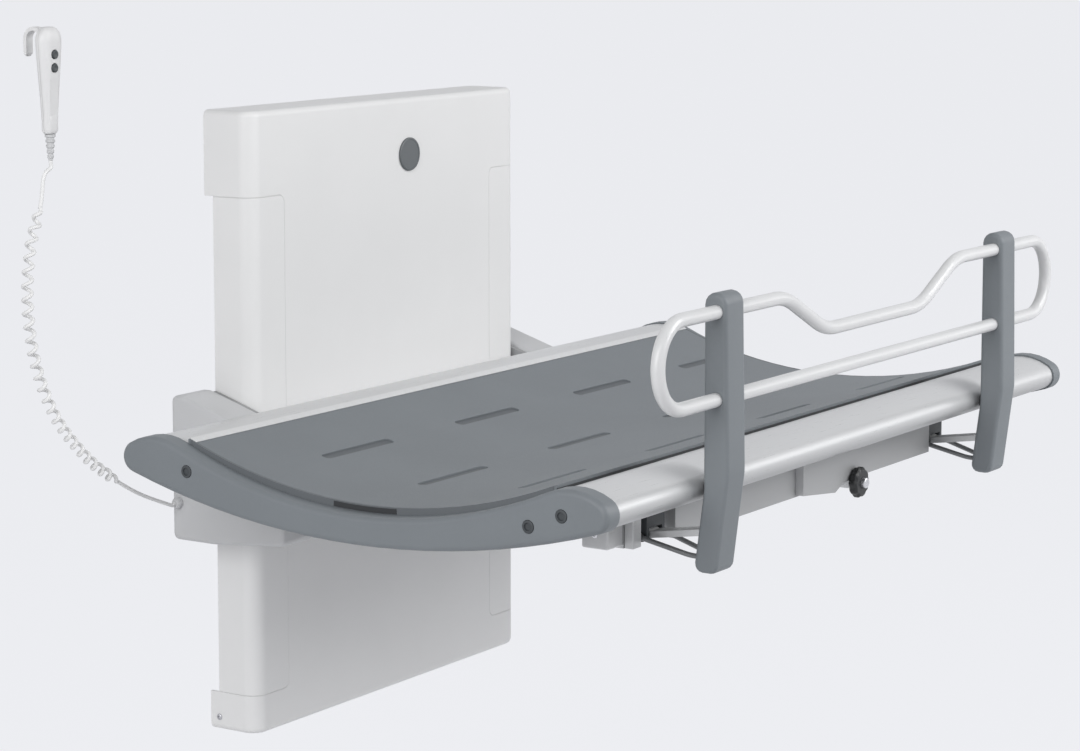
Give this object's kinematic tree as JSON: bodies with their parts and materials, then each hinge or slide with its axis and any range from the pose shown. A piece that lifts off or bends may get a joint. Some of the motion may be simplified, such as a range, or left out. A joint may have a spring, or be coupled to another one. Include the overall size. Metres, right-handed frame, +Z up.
{
  "type": "wall-mounted changing bench",
  "caption": "Wall-hung, height-adjustable changing bench: a lift unit carries a folding curved trough with a swing-down tube guard, release knob and handset on a curly cord.",
  "frame": {"origin": "On the back of the wall plate, midway along it and level with the bench's round edge.", "axes": "+X along the wall to the right of someone facing it, +Y into the wall, +Z up. The front is -Y."},
  "size_m": [1.4802, 0.9654, 1.0793],
  "materials": {
    "white_moulding": "satin white",
    "slate_moulding": "fine textured slate grey",
    "silver_rail": "anodised silver",
    "grey_arm": "light grey enamel on cast metal",
    "slate_edging": "dark slate",
    "white_tube": "white powder coat",
    "plated_steel": "plated",
    "bright_steel": "polished",
    "dark_rubber": "matt dark grey",
    "dark_plastic": "matt dark grey",
    "black_grip": "matt black",
    "grey_plastic": "matt light grey"
  },
  "bodies": {
    "lift_unit": {"wall_plate": "plated_steel", "main_cover": "white_moulding", "left_column_cover": "white_moulding", "right_column_cover": "white_moulding", "round_badge": "dark_plastic", "top_crosshead": "silver_rail", "bottom_crosshead": "silver_rail", "left_guide_bar": "bright_steel", "right_guide_bar": "bright_steel", "lift_spindle": "bright_steel"},
    "carriage": {"carriage_beam": "plated_steel", "left_slider_block": "dark_plastic", "right_slider_block": "dark_plastic", "nut_housing": "silver_rail", "lift_motor": "plated_steel", "control_box": "grey_plastic", "left_arm": "grey_arm", "right_arm": "grey_arm", "left_hinge_pin": "bright_steel", "right_hinge_pin": "bright_steel", "cord_gland": "dark_plastic", "handset_front": "white_moulding", "handset_back": "white_moulding", "cord_strain_relief": "white_moulding", "curly_cord": "white_moulding"},
    "bench": {"wall_rail": "silver_rail", "front_rail": "silver_rail", "left_end_cap": "slate_moulding", "right_end_cap": "slate_moulding", "tray": "slate_moulding", "left_tray_edging": "slate_edging", "right_tray_edging": "slate_edging", "wall_tray_seal": "dark_rubber", "front_tray_seal": "dark_rubber", "left_rib": "silver_rail", "middle_rib": "silver_rail", "right_rib": "silver_rail", "front_beam": "silver_rail", "left_guard_bracket": "dark_plastic", "right_guard_bracket": "dark_plastic", "left_cap_plug_1": "dark_plastic", "left_cap_plug_2": "dark_plastic", "left_cap_plug_3": "dark_plastic", "right_cap_plug_1": "dark_plastic", "right_cap_plug_2": "dark_plastic", "right_cap_plug_3": "dark_plastic"},
    "guard": {"guard_tube": "white_tube", "left_post": "slate_moulding", "right_post": "slate_moulding", "left_bail": "dark_plastic", "right_bail": "dark_plastic", "left_strap": "silver_rail", "right_strap": "silver_rail", "left_post_buffer": "dark_rubber", "right_post_buffer": "dark_rubber"},
    "knob": {"release_knob": "black_grip", "knob_cap": "bright_steel", "knob_shaft": "bright_steel"},
    "up_button": {"up_button": "dark_plastic"},
    "down_button": {"down_button": "dark_plastic"}
  },
  "joints": [
    {"name": "lift_slide", "type": "slide", "parent": "lift_unit", "child": "carriage", "axis": [0, 0, 1], "range_m": [-0.24, 0.28]},
    {"name": "bench_fold", "type": "hinge", "parent": "carriage", "child": "bench", "pos_m": [0, -0.1515, -0.0035], "axis": [-1, 0, 0], "range_deg": [0, 90]},
    {"name": "guard_swing", "type": "hinge", "parent": "bench", "child": "guard", "pos_m": [-0.021, -0.834, -0.075], "axis": [1, 0, 0], "range_deg": [0, 150]},
    {"name": "knob_pull", "type": "slide", "parent": "bench", "child": "knob", "axis": [0, -1, 0], "range_m": [0, 0.01], "stiffness_N_per_m": 400, "springref_m": -0.008},
    {"name": "up_press", "type": "slide", "parent": "carriage", "child": "up_button", "axis": [0, 1, 0], "range_m": [0, 0.0012], "stiffness_N_per_m": 600, "springref_m": -0.001},
    {"name": "down_press", "type": "slide", "parent": "carriage", "child": "down_button", "axis": [0, 1, 0], "range_m": [0, 0.0012], "stiffness_N_per_m": 600, "springref_m": -0.001}
  ]
}
